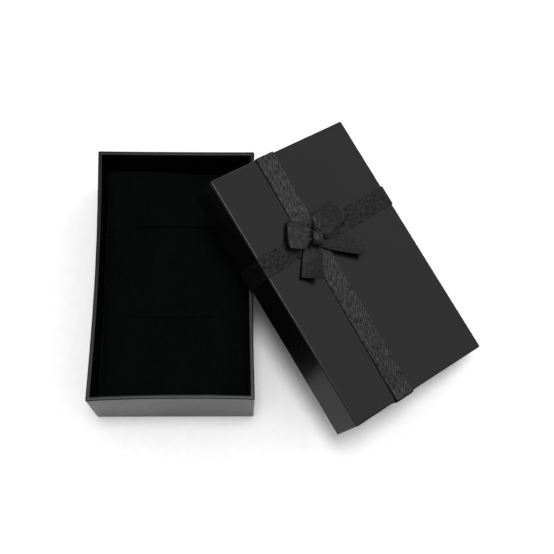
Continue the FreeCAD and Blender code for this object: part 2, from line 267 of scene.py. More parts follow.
def cut(bm, spot, normal, nearest):
    """Divides a mesh along a plane. Points nearer to it than nearest count as on it."""
    everything = bm.verts[:] + bm.edges[:] + bm.faces[:]
    bmesh.ops.bisect_plane(bm, geom=everything, dist=nearest, plane_co=spot, plane_no=normal)


def slice_up(bm, low, high):
    """Cuts a mesh into slices two grid steps thick along each axis, so that it can bend."""
    for axis in range(3):
        count = steps_for(high[axis] - low[axis]) // 2
        normal = Vector((0, 0, 0))
        normal[axis] = 1
        for step in range(1, count):
            spot = Vector((0, 0, 0))
            spot[axis] = low[axis] + (high[axis] - low[axis]) * step / count
            cut(bm, spot, normal, WELD)


def tuck_under(point, half, height, closed_on_top):
    """Rounds a square corner under the wrapping paper's rounded edges, layer by layer."""
    radius = EDGE_RADIUS
    centre = Vector((
        max(-half[0] + radius, min(half[0] - radius, point.x)),
        max(-half[1] + radius, min(half[1] - radius, point.y)),
        min(height - radius, point.z) if closed_on_top else max(radius, point.z),
    ))
    out = point - centre
    if out.length == 0:
        return point
    return centre + out * (max(abs(part) for part in out) / out.length)


def add_hidden_piece(name, node, body, slot, material, half, height, place, bend):
    """A copy of a board, stay or liner that bends with the wrapping paper over it."""
    bm = bmesh.new()
    bm.from_mesh(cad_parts[node].data)
    if place is not None:
        bmesh.ops.transform(bm, matrix=place.inverted(), verts=bm.verts)
    bmesh.ops.remove_doubles(bm, verts=bm.verts, dist=CAD_WELD)
    points = np.array([vertex.co for vertex in bm.verts])
    slice_up(bm, points.min(0), points.max(0))
    closed_on_top = place is not None
    for vertex in bm.verts:
        vertex.co = bend(tuck_under(vertex.co, half, height, closed_on_top))
    add_piece(name, bm, body, slot, material, [node], place, sharp=30)


# ---- materials


PLAIN = (1, 1, 1)
COOL = (0.98, 0.98, 1.03)

# where nearly all of a noise texture's values lie
NOISE_LOW, NOISE_HIGH = 0.3, 0.7


def set_sockets(node, values):
    """Sets a node's sockets. A key such as Base_Color stands for the socket Base Color."""
    for socket, value in values.items():
        node.inputs[socket.replace("_", " ")].default_value = value


def add_node(tree, kind, **values):
    made = tree.nodes.new("ShaderNode" + kind)
    set_sockets(made, values)
    return made


class Look:
    """A material's node tree, with short ways to add what most of them use."""

    def __init__(self, name, roughness, specular):
        self.material = bpy.data.materials.new(name)
        self.material.use_nodes = True
        self.tree = self.material.node_tree
        self.shader = self.tree.nodes["Principled BSDF"]
        self.set(Roughness=roughness, Specular_IOR_Level=specular)

    def set(self, **values):
        """Sets the shader's sockets, for what is the same all over the surface."""
        set_sockets(self.shader, values)

    def drive(self, **outputs):
        """Links outputs to the shader's sockets, for what varies over the surface."""
        for socket, output in outputs.items():
            self.link(output, self.shader.inputs[socket.replace("_", " ")])

    def node(self, kind, **values):
        return add_node(self.tree, kind, **values)

    def link(self, output, socket):
        self.tree.links.new(output, socket)

    def place(self, scale=PLAIN, uv=None):
        """Texture coordinates: the object's own, or a strip's, stretched by scale."""
        if uv:
            source = self.node("UVMap")
            source.uv_map = uv
            output = source.outputs["UV"]
        else:
            output = self.node("TexCoord").outputs["Object"]
        mapping = self.node("Mapping", Scale=scale)
        self.link(output, mapping.inputs["Vector"])
        return mapping.outputs["Vector"]

    def noise(self, where, scale, detail=3.0, roughness=0.6):
        made = self.node("TexNoise", Scale=scale, Detail=detail, Roughness=roughness)
        self.link(where, made.inputs["Vector"])
        return made.outputs["Fac"]

    def spread(self, source, low, high, from_low=NOISE_LOW, from_high=NOISE_HIGH):
        """A number mapped from one range to another."""
        made = self.node(
            "MapRange", From_Min=from_low, From_Max=from_high, To_Min=low, To_Max=high)
        self.link(source, made.inputs["Value"])
        return made.outputs["Result"]

    def ramp(self, source, dark, pale, from_low=NOISE_LOW, from_high=NOISE_HIGH):
        """A colour from dark to pale, as a number goes from low to high."""
        made = self.node("ValToRGB")
        stops = ((from_low, dark), (from_high, pale))
        for element, (spot, colour) in zip(made.color_ramp.elements, stops):
            element.position = spot
            element.color = (*colour, 1)
        self.link(source, made.inputs["Fac"])
        return made.outputs["Color"]

    def mix(self, share, first, second):
        """Two colours mixed by a share."""
        made = self.tree.nodes.new("ShaderNodeMix")
        made.data_type = "RGBA"
        self.link(share, made.inputs[0])
        self.link(first, made.inputs[6])
        self.link(second, made.inputs[7])
        return made.outputs[2]

    def bumps(self, *layers):
        """Bump layers of (height, strength, distance), one over another."""
        normal = None
        for height, strength, distance in layers:
            made = self.node("Bump", Strength=strength, Distance=distance)
            self.link(height, made.inputs["Height"])
            if normal:
                self.link(normal, made.inputs["Normal"])
            normal = made.outputs["Normal"]
        self.link(normal, self.shader.inputs["Normal"])


def grey(value, tint=PLAIN):
    return tuple(value * part for part in tint)


def make_wrap_paper(name):
    """Black coated paper with a fine grain, paler where its folds have rubbed."""
    look = Look(name, roughness=0.29, specular=0.17)
    look.set(IOR=1.48)
    where = look.place()
    grain = look.noise(where, scale=2600, detail=4)
    fibres = look.noise(look.place((1, 0.25, 1)), scale=900)
    patches = look.noise(where, scale=45)
    ripples = look.noise(look.place((0.35, 0.35, 1)), scale=130, detail=2)
    black = look.ramp(grain, grey(0.0005, COOL), grey(0.0014, COOL))
    rubbed = look.ramp(fibres, grey(0.008, COOL), grey(0.03, COOL))
    pointed = look.node("NewGeometry").outputs["Pointiness"]
    wear = look.spread(pointed, 0, 0.5, from_low=0.55, from_high=0.66)
    look.drive(
        Base_Color=look.mix(wear, black, rubbed),
        Roughness=look.spread(patches, 0.26, 0.33),
    )
    look.bumps((ripples, 0.15, 0.15 * MM), (fibres, 0.10, 0.01 * MM), (grain, 0.45, 0.006 * MM))
    return look.material


def make_liner_paper():
    """Plain black paper, duller than the wrapping paper."""
    look = Look("liner_paper", roughness=0.8, specular=0.3)
    fibres = look.noise(look.place((1, 0.2, 1)), scale=700, detail=4)
    patches = look.noise(look.place(), scale=60)
    look.drive(
        Base_Color=look.ramp(fibres, grey(0.0015), grey(0.004)),
        Roughness=look.spread(patches, 0.72, 0.88),
    )
    look.bumps((fibres, 0.3, 0.02 * MM))
    return look.material


def make_greyboard():
    """Recycled board: grey-brown, flecked, and rough where it was cut."""
    look = Look("greyboard", roughness=0.9, specular=0.2)
    where = look.place()
    pulp = look.noise(where, scale=350, detail=5, roughness=0.7)
    flecks = look.noise(where, scale=1500, detail=2)
    pale = look.ramp(pulp, (0.20, 0.185, 0.165), (0.33, 0.31, 0.28))
    dark = look.ramp(pulp, (0.06, 0.05, 0.045), (0.10, 0.09, 0.08))
    fleck_share = look.spread(flecks, 0, 1, from_low=0.64, from_high=0.70)
    look.drive(
        Base_Color=look.mix(fleck_share, pale, dark),
        Roughness=look.spread(pulp, 0.82, 0.96),
    )
    look.bumps((pulp, 0.4, 0.05 * MM))
    return look.material


def make_stay_tape():
    """Brown gummed paper tape."""
    look = Look("stay_tape", roughness=0.6, specular=0.4)
    fibres = look.noise(look.place((1, 1, 0.15)), scale=900, detail=4)
    look.drive(
        Base_Color=look.ramp(fibres, (0.26, 0.16, 0.08), (0.42, 0.28, 0.16)),
        Roughness=look.spread(fibres, 0.5, 0.7),
    )
    look.bumps((fibres, 0.3, 0.02 * MM))
    return look.material


def make_foam():
    """Open-cell foam: a sponge of small round pores, painted darker towards each pore's hollow
    middle as painted shade.
    """
    look = Look("pad_foam", roughness=0.95, specular=0.2)
    pores = look.node("TexVoronoi", Scale=1800)
    look.link(look.place(), pores.inputs["Vector"])
    depth = look.spread(pores.outputs["Distance"], 0, 1, from_low=0.1, from_high=0.6)
    # painted shade: each pore's colour darkens towards its deepest point
    look.drive(
        Base_Color=look.ramp(depth, grey(0.01), grey(0.07), from_low=0, from_high=1),
        Roughness=look.spread(depth, 0.85, 1.0),
    )
    look.bumps((depth, 0.6, 0.15 * MM))
    return look.material


def make_velvet():
    """Black flock: no gloss, a short nap that is paler seen along its tips, and soft patches where
    the nap lies another way, painted paler in its colour as painted sheen.
    """
    look = Look("velvet", roughness=1.0, specular=0.03)
    look.set(Sheen_Weight=0.015, Sheen_Roughness=0.4, Sheen_Tint=(0.85, 1.0, 0.93, 1))
    nap_sheen_patches = look.noise(look.place((1, 0.45, 1)), scale=70, roughness=0.55)
    tufts = look.noise(look.place(), scale=2200)
    nap = look.noise(look.place((1, 0.6, 1)), scale=420)
    # low is the velvet's plain tone; high is that tone painted paler, as painted sheen, for the
    # soft nap patches
    low = look.ramp(tufts, (0.0003, 0.0005, 0.0004), (0.0007, 0.0010, 0.0009))
    high = look.ramp(tufts, (0.0006, 0.0009, 0.0008), (0.0014, 0.0019, 0.0017))
    look.drive(
        Base_Color=look.mix(look.spread(nap_sheen_patches, 0, 1), low, high),
        Roughness=look.spread(nap, 0.9, 1.0),
    )
    look.bumps((nap_sheen_patches, 0.3, 0.3 * MM), (nap, 0.5, 0.12 * MM), (tufts, 0.8, 0.06 * MM))
    return look.material


# ribbon textures: their cells in a metre, along the ribbon and across it
THREAD_SCALE = (160, 5200, 1)
CLOUD_SCALE = (60, 120, 1)
TWILL_SLANT = -20  # degrees
TWILL_PITCH = 0.25 * MM
TWILL_STRETCH = 0.15  # cells along a twill line, against cells across it
GROOVE_SHADE_SHARE = 0.2  # how pale the threads are between the twill lines, against in a line: painted shade in the grooves between the lines


def make_satin(name, dark, pale, roughness, specular, anisotropy, contrast, twill_height):
    """Satin ribbon: long floating threads that shine across themselves, in slanting twill lines.

    dark and pale are its threads' tones, painted darker between the twill lines as painted shade,
    and contrast is how much the twill lines change its shine.
    """
    look = Look(name, roughness, specular)
    look.set(IOR=1.45, Anisotropic=anisotropy, Anisotropic_Rotation=0.25, Sheen_Weight=0.004)
    threads = look.noise(look.place(THREAD_SCALE, "strip"), scale=1, detail=2)
    slanted = look.node("VectorRotate")
    slanted.rotation_type = "Z_AXIS"
    slanted.inputs["Angle"].default_value = math.radians(TWILL_SLANT)
    look.link(look.place(uv="strip"), slanted.inputs["Vector"])
    stretched = look.node("Mapping", Scale=(TWILL_STRETCH / TWILL_PITCH, 1 / TWILL_PITCH, 1))
    look.link(slanted.outputs["Vector"], stretched.inputs["Vector"])
    twill = look.noise(stretched.outputs["Vector"], scale=1, detail=2, roughness=0.45)
    cloud = look.noise(look.place(CLOUD_SCALE, "strip"), scale=1, detail=2)
    thread = look.ramp(threads, grey(dark, COOL), grey(pale, COOL))
    painted_groove_shade = look.ramp(threads, grey(dark * GROOVE_SHADE_SHARE, COOL), grey(pale * GROOVE_SHADE_SHARE, COOL))
    lines = look.spread(twill, 0, 1, from_low=0.42, from_high=0.60)
    shine = look.spread(twill, 1 - contrast, 1 + contrast, from_low=0.40, from_high=0.60)
    tangent = look.node("Tangent")
    tangent.direction_type = "UV_MAP"
    tangent.uv_map = "strip"
    look.drive(
        # painted shade: between the twill lines the colour is the darker copy of the thread tone
        Base_Color=look.mix(lines, painted_groove_shade, thread),
        Roughness=look.spread(cloud, roughness - 0.04, roughness + 0.05),
        Specular_Tint=shine,
        Tangent=tangent.outputs["Tangent"],
    )
    look.bumps((cloud, 0.2, 0.15 * MM), (twill, 1.0, twill_height), (threads, 0.4, 0.02 * MM))
    return look.material


def make_glue():
    """A dot of hot-melt glue: milky, with a skin that set unevenly."""
    look = Look("glue", roughness=0.3, specular=0.5)
    look.set(Transmission_Weight=0.35, Subsurface_Weight=0.2)
    cloud = look.noise(look.place(), scale=500)
    look.drive(
        Base_Color=look.ramp(cloud, (0.62, 0.58, 0.48), (0.80, 0.77, 0.68)),
        Roughness=look.spread(cloud, 0.22, 0.4),
    )
    look.bumps((cloud, 0.4, 0.1 * MM))
    return look.material


def make_floor_material():
    """Plain pale paper."""
    look = Look("floor", roughness=0.9, specular=0.1)
    paper = look.noise(look.place(), scale=300, detail=2)
    look.drive(Base_Color=look.ramp(paper, grey(0.57), grey(0.59)))
    return look.material


TRAY_PAPER = make_wrap_paper("wrap_paper_tray")
LID_PAPER = make_wrap_paper("wrap_paper_lid")
LINER_PAPER = make_liner_paper()
GREYBOARD = make_greyboard()
STAY_TAPE = make_stay_tape()
FOAM = make_foam()
VELVET = make_velvet()
RIBBON_SATIN = make_satin(
    "satin_ribbon", dark=0.001, pale=0.006, roughness=0.37, specular=0.19, anisotropy=0.95,
    contrast=0.55, twill_height=0.12 * MM)
BOW_SATIN = make_satin(
    "bow_ribbon", dark=0.002, pale=0.008, roughness=0.48, specular=0.195, anisotropy=0.65,
    contrast=0.18, twill_height=0.04 * MM)
GLUE = make_glue()


# ---- how the paper walls stray


def midway(value, half):
    """1 halfway along a wall and 0 at its corners."""
    return math.cos(math.pi / 2 * max(-1, min(1, value / half)))


# how far the tray's rim stands from square, outward at its corners and inward between them
LEFT_CORNER = 0.40 * MM
LEFT_BOW = 0.90 * MM
RIGHT_CORNER = 0.10 * MM
RIGHT_BOW = 0.60 * MM
FRONT_LEFT_CORNER = 0.45 * MM
FRONT_RIGHT_CORNER = 0.05 * MM
FRONT_BOW = 0.45 * MM
BACK_BOW = 0.10 * MM
CORNER_POWER = 3  # how close to its corner a corner's stray stays
BOW_POWER = 0.5  # how flat the front and back walls are halfway along


def bend_tray(point):
    """A point of the tray's shell, strayed from square in proportion to its height."""
    half_x, half_y = TRAY_HALF
    rise = max(0, min(1, point.z / TRAY_HEIGHT))
    right = (point.x / half_x + 1) / 2
    back = (point.y / half_y + 1) / 2
    along = midway(point.y, half_y)
    across = midway(point.x, half_x) ** BOW_POWER
    left_shift = -LEFT_CORNER + LEFT_BOW * along
    right_shift = RIGHT_CORNER - RIGHT_BOW * along
    front_corners = FRONT_LEFT_CORNER * (1 - right) ** CORNER_POWER
    front_corners += FRONT_RIGHT_CORNER * right ** CORNER_POWER
    front_shift = -front_corners + (FRONT_BOW * across - FRONT_BOW / 2)
    back_shift = -BACK_BOW * across
    return point + Vector((
        rise * (left_shift * (1 - right) + right_shift * right),
        rise * (front_shift * (1 - back) + back_shift * back),
        0,
    ))


LID_PUFF = 0.12 * MM
LID_WALL_BOW = 0.15 * MM
LID_FLARE = 0.25 * MM
SOFT_EDGE_DROP = 0.32 * MM
SOFT_EDGE_WIDTH = 3.2 * MM
SOFT_EDGE_START = -0.7  # along the lid, from -1 in front to 1 at the back
SOFT_EDGE_RUN = 0.9


def bend_lid(point):
    """A point of the lid's shell: its top a little puffed, its walls drawn in by the ribbons.

    Its front right corner flares, and its left top edge is pressed soft, most at the back.
    """
    half_x, half_y = LID_HALF
    along = midway(point.y, half_y)
    across = midway(point.x, half_x)
    drop = 1 - max(0, min(1, point.z / LID_HEIGHT))
    flare = LID_FLARE * ((1 + point.x / half_x) / 2) ** 2 * ((1 - point.y / half_y) / 2) ** 2
    near_edge = max(0, 1 - (point.x + half_x) / SOFT_EDGE_WIDTH)
    backward = smooth((point.y / half_y - SOFT_EDGE_START) / SOFT_EDGE_RUN)
    pressed = SOFT_EDGE_DROP * near_edge ** 2 * backward * (1 - drop) ** 2
    return point + Vector((
        -LID_WALL_BOW * drop * along * point.x / half_x + flare,
        -LID_WALL_BOW * drop * across * point.y / half_y - flare,
        -LID_PUFF * (1 - along * across) * (1 - drop) - pressed,
    ))


# ---- the two shells


def make_shell(name, half, height, turn_in, paper, bend, place=None):
    """One shell: its wrapping paper, and the board, corner stays and liner that it hides.

    A shell with a place of its own is a lid: it is closed on top.
    """
    bm = sweep(half, EDGE_RADIUS, wrap_profile(height, turn_in))
    if place is not None:
        flip = Matrix.Translation((0, 0, height)) @ Matrix.Rotation(math.pi, 4, "Y")
        bmesh.ops.transform(bm, matrix=flip, verts=bm.verts)
    for vertex in bm.verts:
        vertex.co = bend(vertex.co)
    add_piece(name + "_paper", bm, name, "wrap_paper", paper, [name + "_wrap"], place)
    inner = [
        (name + "_greyboard", name + "_board", "greyboard", GREYBOARD),
        (name + "_lining", name + "_liner", "liner_paper", LINER_PAPER),
    ]
    for number in range(1, 5):
        stay = "%s_corner_stay_%d" % (name, number)
        inner.append((stay.replace("corner_stay", "tape"), stay, "stay_tape", STAY_TAPE))
    for piece, node, slot, material in inner:
        add_hidden_piece(piece, node, name, slot, material, half, height, place, bend)


make_shell("tray", TRAY_HALF, TRAY_HEIGHT, TRAY_TURN_IN, TRAY_PAPER, bend_tray)
make_shell("lid", LID_HALF, LID_HEIGHT, LID_TURN_IN, LID_PAPER, bend_lid, LID_FRAME)


# ---- the pad


pad_low, pad_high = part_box("pad_velvet")
PAD_SIDE_GAP = 0.06 * MM
PAD_HALF = (pad_high.x - PAD_SIDE_GAP, pad_high.y - PAD_SIDE_GAP)
PAD_CORNER = 1.6 * MM
PAD_BASE_EDGE = 0.3 * MM
PAD_TOP_EDGE = 0.9 * MM
PAD_PULL = 0.15 * MM
PAD_SWELL_ROOM = 0.25 * MM
PAD_DENT = 0.12 * MM
PAD_DENT_SIZE = 9 * MM
SIDE_STEPS = 5
UPWARD = 0.5  # a point whose normal rises more than this is on the pad's top


def make_block(half, corner_radius, low, high, low_edge, high_edge):
    """A block with rounded upright corners and rounded edges below and above."""
    flat = corner_radius + FLAT_MARGIN
    profile = [(flat, low)] + arc(low_edge, low + low_edge, low_edge, -90, 0)
    profile += line(profile[-1], (0, high - high_edge), SIDE_STEPS)[:-1]
    profile += arc(high_edge, high - high_edge, high_edge, 0, 90) + [(flat, high)]
    return sweep(half, corner_radius, profile)


CORNER_RISE = 2.4 * MM
RISE_FROM = (9 * MM, 14 * MM)
RISE_FULL = (-10 * MM, 34 * MM)


def raise_corner(bm, floor_height, top):
    """The pad stands a little high in its back left corner, where it was pressed in askew."""
    for vertex in bm.verts:
        across = (vertex.co.x - RISE_FROM[0]) / (RISE_FULL[0] - RISE_FROM[0])
        along = (vertex.co.y - RISE_FROM[1]) / (RISE_FULL[1] - RISE_FROM[1])
        share = max(0, (vertex.co.z - floor_height) / (top - floor_height))
        vertex.co.z += CORNER_RISE * smooth(across) * smooth(along) * share


def pull_in_sides(point, half):
    """Draws a cushion's sides in between its corners."""
    along = midway(point.y, half[1])
    across = midway(point.x, half[0])
    return point - Vector((
        PAD_PULL * along * point.x / half[0],
        PAD_PULL * across * point.y / half[1],
        0,
    ))


CLOTH_PRESSURE = 4
CLOTH_STIFFNESS = 40
CLOTH_CAP = 0.45 * MM
CLOTH_FRAMES = 20
HELD_HEIGHT = 1.5 * MM


def simulate_cushion(piece, floor_height):
    """Swells a cushion's cover under slight pressure, its base held and each point capped.

    The tray's walls hold its sides, so hardly more than its top moves.
    """
    mesh = piece.data
    before = np.array([vertex.co for vertex in mesh.vertices])
    held = piece.vertex_groups.new(name="held")
    held_below = floor_height + HELD_HEIGHT
    base = [vertex.index for vertex in mesh.vertices if vertex.co.z < held_below]
    held.add(base, 1, "REPLACE")
    cloth = piece.modifiers.new("cloth", "CLOTH")
    fabric = cloth.settings
    fabric.use_pressure = True
    fabric.uniform_pressure_force = CLOTH_PRESSURE
    fabric.effector_weights.gravity = 0
    fabric.vertex_group_mass = "held"
    fabric.tension_stiffness = CLOTH_STIFFNESS
    fabric.compression_stiffness = CLOTH_STIFFNESS
    cloth.point_cache.frame_start = 1
    cloth.point_cache.frame_end = CLOTH_FRAMES
    for number in range(1, CLOTH_FRAMES + 1):
        scene.frame_set(number)
    swollen = piece.evaluated_get(bpy.context.evaluated_depsgraph_get())
    after = np.array([vertex.co for vertex in swollen.data.vertices])
    moved = after - before
    moved[:, :2] = np.clip(moved[:, :2], -PAD_SIDE_GAP, PAD_SIDE_GAP)
    length = np.linalg.norm(moved, axis=1, keepdims=True)
    capped = before + moved * np.minimum(1, CLOTH_CAP / np.maximum(length, 1e-9))
    piece.modifiers.remove(cloth)
    piece.vertex_groups.clear()
    mesh.vertices.foreach_set("co", capped.ravel())
    mesh.update()
    scene.frame_set(1)


SLIT_HALF_GAP = 0.06 * MM
SLIT_LIP = 0.7 * MM
SLIT_DEPTH = 1.6 * MM
SLIT_SHOULDER_DEPTH = SLIT_DEPTH * 0.25
SLIT_LIP_RISE = 0.10 * MM
SLIT_END_POWER = 8  # how suddenly a slit gets shallow towards its ends
SIDES_MARGIN = 5 * MM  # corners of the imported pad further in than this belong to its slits


def slit_lines():
    """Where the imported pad's two slits lie: their centres along y, and half their length."""
    points = node_points("pad_velvet")
    inside = np.abs(points[:, 1]) < pad_high.y - SIDES_MARGIN
    edges = sorted(set(np.round(points[inside, 1], decimals=5)))
    centres = [(edges[0] + edges[1]) / 2, (edges[2] + edges[3]) / 2]
    return centres, np.abs(points[inside, 0]).max()


def cut_slits(bm):
    """Two knife cuts in the pad's top: a narrow valley between lips that stand up a little."""
    centres, half_length = slit_lines()
    for centre in centres:
        for offset in (-SLIT_LIP, -SLIT_HALF_GAP, 0, SLIT_HALF_GAP, SLIT_LIP):
            cut(bm, (0, centre + offset, 0), (0, 1, 0), CAD_WELD)
    for vertex in bm.verts:
        share = 1 - abs(vertex.co.x / half_length) ** SLIT_END_POWER
        if share <= 0 or vertex.normal.z < UPWARD:
            continue
        away = min(abs(vertex.co.y - centre) for centre in centres)
        if away < SLIT_HALF_GAP * 0.5:
            vertex.co.z -= SLIT_DEPTH * share
        elif away < SLIT_HALF_GAP * 1.5:
            vertex.co.z -= SLIT_SHOULDER_DEPTH * share
        elif away < SLIT_LIP * 1.2:
            vertex.co.z += SLIT_LIP_RISE * share


def make_pad():
    """The velvet pad: a crowned cushion that fills the tray's floor, with its two slits."""
    top = pad_high.z - PAD_SWELL_ROOM
    bm = make_block(PAD_HALF, PAD_CORNER, pad_low.z, top, PAD_BASE_EDGE, PAD_TOP_EDGE)
    for vertex in bm.verts:
        vertex.co = pull_in_sides(vertex.co, PAD_HALF)
    cushion = add_piece("velvet_pad", bm, "insert", "velvet", VELVET, ["pad_velvet"], sharp=80)
    simulate_cushion(cushion, pad_low.z)
    bm = bmesh.new()
    bm.from_mesh(cushion.data)
    bmesh.ops.subdivide_edges(bm, edges=bm.edges, cuts=1, use_grid_fill=True, smooth=0.6)
    bm.normal_update()
    cut_slits(bm)
    for vertex in bm.verts:
        if vertex.normal.z > UPWARD:
            vertex.co.z += PAD_DENT * noise.noise(vertex.co / PAD_DENT_SIZE)
    raise_corner(bm, pad_low.z, top)
    bm.to_mesh(cushion.data)
    bm.free()


FOAM_GAP = 0.2 * MM
FOAM_CORNER = 1.2 * MM
FOAM_EDGE = 1.0 * MM
FOAM_TOP_GAP = 1.0 * MM


def make_foam_core():
    """The foam slab inside the velvet, a little smaller than its cover all round."""
    low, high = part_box("pad_foam")
    inset = PAD_SIDE_GAP + FOAM_GAP
    half = (high.x - inset, high.y - inset)
    bottom, top = low.z + FOAM_GAP, high.z - FOAM_TOP_GAP
    bm = make_block(half, FOAM_CORNER, bottom, top, PAD_BASE_EDGE, FOAM_EDGE)
    for vertex in bm.verts:
        vertex.co = pull_in_sides(vertex.co, half)
    add_piece("foam_core", bm, "insert", "pad_foam", FOAM, ["pad_foam"], sharp=80)


make_pad()
make_foam_core()


# ---- satin strips


SELVEDGE = 0.45  # how thick a strip's two edges are, as a share of its thickness
FOLD_STEPS = 5


def add_strip(name, rows, thickness, material, slot, replaced, joined=False):
    """A band of ribbon about a grid of points: rows along it, and points across each row.

    The UV map named strip runs in metres, along the ribbon and across it.
    """
    grid = np.array(rows)
    if joined:
        along = np.roll(grid, -1, axis=0) - np.roll(grid, 1, axis=0)
    else:
        along = np.gradient(grid, axis=0)
    normal = np.cross(along, np.gradient(grid, axis=1))
    normal /= np.linalg.norm(normal, axis=2, keepdims=True)
    row_count, across_count = grid.shape[:2]
    taper = np.ones((1, across_count, 1))
    taper[:, 0] = taper[:, -1] = SELVEDGE
    offset = normal * taper * thickness / 2
    middle = across_count // 2
    lengths = np.linalg.norm(np.diff(grid[:, middle], axis=0), axis=1)
    run = np.concatenate([[0], np.cumsum(lengths)])
    widths = np.linalg.norm(np.diff(grid, axis=1), axis=2)
    across = np.concatenate([np.zeros((row_count, 1)), np.cumsum(widths, axis=1)], axis=1)

    bm = bmesh.new()
    place_on_strip = bm.loops.layers.uv.new("strip")
    uv = {}
    loops = []
    for i in range(row_count):
        above = [bm.verts.new(point) for point in grid[i] + offset[i]]
        below = [bm.verts.new(point) for point in grid[i] - offset[i]]
        for side in (above, below):
            for j, vertex in enumerate(side):
                uv[vertex] = (run[i], across[i, j])
        loops.append(above + below[::-1])
    pairs = list(zip(loops[:-1], loops[1:]))
    if joined:
        pairs.append((loops[-1], loops[0]))
    count = 2 * across_count
    for first, second in pairs:
        for k in range(count):
            bm.faces.new((first[k], first[(k + 1) % count], second[(k + 1) % count], second[k]))
    if not joined:
        for end in (loops[0], loops[-1]):
            for j in range(across_count - 1):
                bm.faces.new((end[j], end[j + 1], end[count - 2 - j], end[count - 1 - j]))
    bmesh.ops.recalc_face_normals(bm, faces=bm.faces)
    for face in bm.faces:
        for corner in face.loops:
            corner[place_on_strip].uv = uv[corner.vert]
    return add_piece(name, bm, "lid", slot, material, replaced, LID_FRAME, sharp=60)


def rounded_path(corners, radius):
    """Points along straight runs through corners, each corner rounded by a curve."""
    points = [Vector(corners[0])]
    for before, corner, after in zip(corners[:-2], corners[1:-1], corners[2:]):
        corner = Vector(corner)
        arrive = (corner - Vector(before)).normalized()
        leave = (Vector(after) - corner).normalized()
        start, end = corner - arrive * radius, corner + leave * radius
        for step in range(FOLD_STEPS + 1):
            share = step / FOLD_STEPS
            points.append(start.lerp(corner, share).lerp(corner.lerp(end, share), share))
    points.append(Vector(corners[-1]))
    return points


def side_to_side(count):
    """Where a strip's points lie across it, from -1 to 1."""
    return [2 * step / count - 1 for step in range(count + 1)]


def divided(points, longest):
    """The same path with no run longer than longest."""
    dense = [points[0]]
    for before, after in zip(points[:-1], points[1:]):
        count = max(1, math.ceil((after - before).length / longest))
        dense += [before.lerp(after, step / count) for step in range(1, count + 1)]
    return dense


RIBBON_THICK = 0.2 * MM
RIBBON_ACROSS = 12
RIBBON_RUN = 1.2 * MM
RIBBON_FOLD = 0.5 * MM
RIBBON_LIFT = 0.14 * MM
TUCK_DEPTH = 8 * MM
SLACK_REACH = 2.2 * MM
SLACK_DIRECTION = (0.8, 0.6)
HUMP_FADE = 1.2 * MM


def ribbon_line(half, slack_at_edge, hump=None):
    """A ribbon's path in its own plane: (along, height), tucked in at both ends.

    slack_at_edge is how far it stands off the lid's top edges at its low and high end. hump is
    where it crosses the other ribbon: the middle, half the width and the rise.
    """
    out = half + RIBBON_LIFT
    inside = half - WALL - RIBBON_LIFT
    low = -RIBBON_LIFT
    top = LID_HEIGHT + RIBBON_LIFT
    corners = [(-inside, TUCK_DEPTH), (-inside, low), (-out, low), (-out, top),
               (out, top), (out, low), (inside, low), (inside, TUCK_DEPTH)]
    path = divided(rounded_path(corners, RIBBON_FOLD), RIBBON_RUN)
    placed = []
    for point in path:
        slack = slack_at_edge[0] if point.x < 0 else slack_at_edge[1]
        to_edge = math.hypot(abs(point.x) - out, point.y - top) / SLACK_REACH
        outward = Vector((math.copysign(SLACK_DIRECTION[0], point.x), SLACK_DIRECTION[1]))
        outward = outward * slack * math.exp(-to_edge ** 2)
        placed.append(point + outward)
    if hump:
        middle, half_width, rise = hump
        for point in placed:
            if point.y > LID_HEIGHT:
                away = max(0, abs(point.x - middle) - half_width) / HUMP_FADE
                point.y += rise * math.exp(-away ** 2)
    return placed


RIBBON_CURL = 0.05 * MM
RIBBON_WANDER = 0.03 * MM
WANDER_SIZE = 4 * MM


def ribbon_rows(path, centre_of, width, place):
    """Rows across a ribbon laid along a path; on the lid's top its edges stand off a hair."""
    rows = []
    for point in path:
        centre = centre_of(point.x)
        row = []
        for across in side_to_side(RIBBON_ACROSS):
            curl = RIBBON_CURL * across ** 4
            spot = (point.x / WANDER_SIZE, across, point.y / WANDER_SIZE)
            wander = RIBBON_WANDER * noise.noise(spot)
            height = point.y + (curl + wander) * (point.y > LID_HEIGHT)
            row.append(place(point.x, height, centre + across * width / 2))
        rows.append(row)
    return rows


# how far each ribbon lies beside the CAD ribbon's middle, and strays towards its high end
LONG_SIDE, LONG_STRAY = -0.05 * MM, 0.75 * MM
CROSS_SIDE, CROSS_STRAY = 0.2 * MM, 1.0 * MM

# how far each ribbon stands off the lid's top edges at its low and high end
LONG_SLACK = (0.35 * MM, 0.15 * MM)
CROSS_SLACK = (0.1 * MM, 0.05 * MM)
CROSSING_GAP = 0.06 * MM


def make_ribbons():
    """The two ribbons round the lid, each a little askew. The cross one lies on the long one."""
    low, high = box_in_lid("ribbon_long")
    long_x, width = (low[0] + high[0]) / 2, high[0] - low[0]
    low, high = box_in_lid("ribbon_cross")
    cross_y = (low[1] + high[1]) / 2
    half_x, half_y = LID_HALF

    def long_centre(along):
        return long_x + LONG_SIDE + LONG_STRAY * along / half_y

    def cross_centre(along):
        return cross_y + CROSS_SIDE + CROSS_STRAY * along / half_x

    path = ribbon_line(half_y, LONG_SLACK)
    rows = ribbon_rows(path, long_centre, width, lambda along, up, across: (across, along, up))
    add_strip(
        "ribbon_lengthways", rows, RIBBON_THICK, RIBBON_SATIN, "satin_ribbon", ["ribbon_long"])
    hump = (long_x, width / 2, RIBBON_THICK + CROSSING_GAP)
    path = ribbon_line(half_x, CROSS_SLACK, hump)
    rows = ribbon_rows(path, cross_centre, width, lambda along, up, across: (along, across, up))
    add_strip(
        "ribbon_crossways", rows, RIBBON_THICK, RIBBON_SATIN, "satin_ribbon", ["ribbon_cross"])


make_ribbons()


# ---- the bow


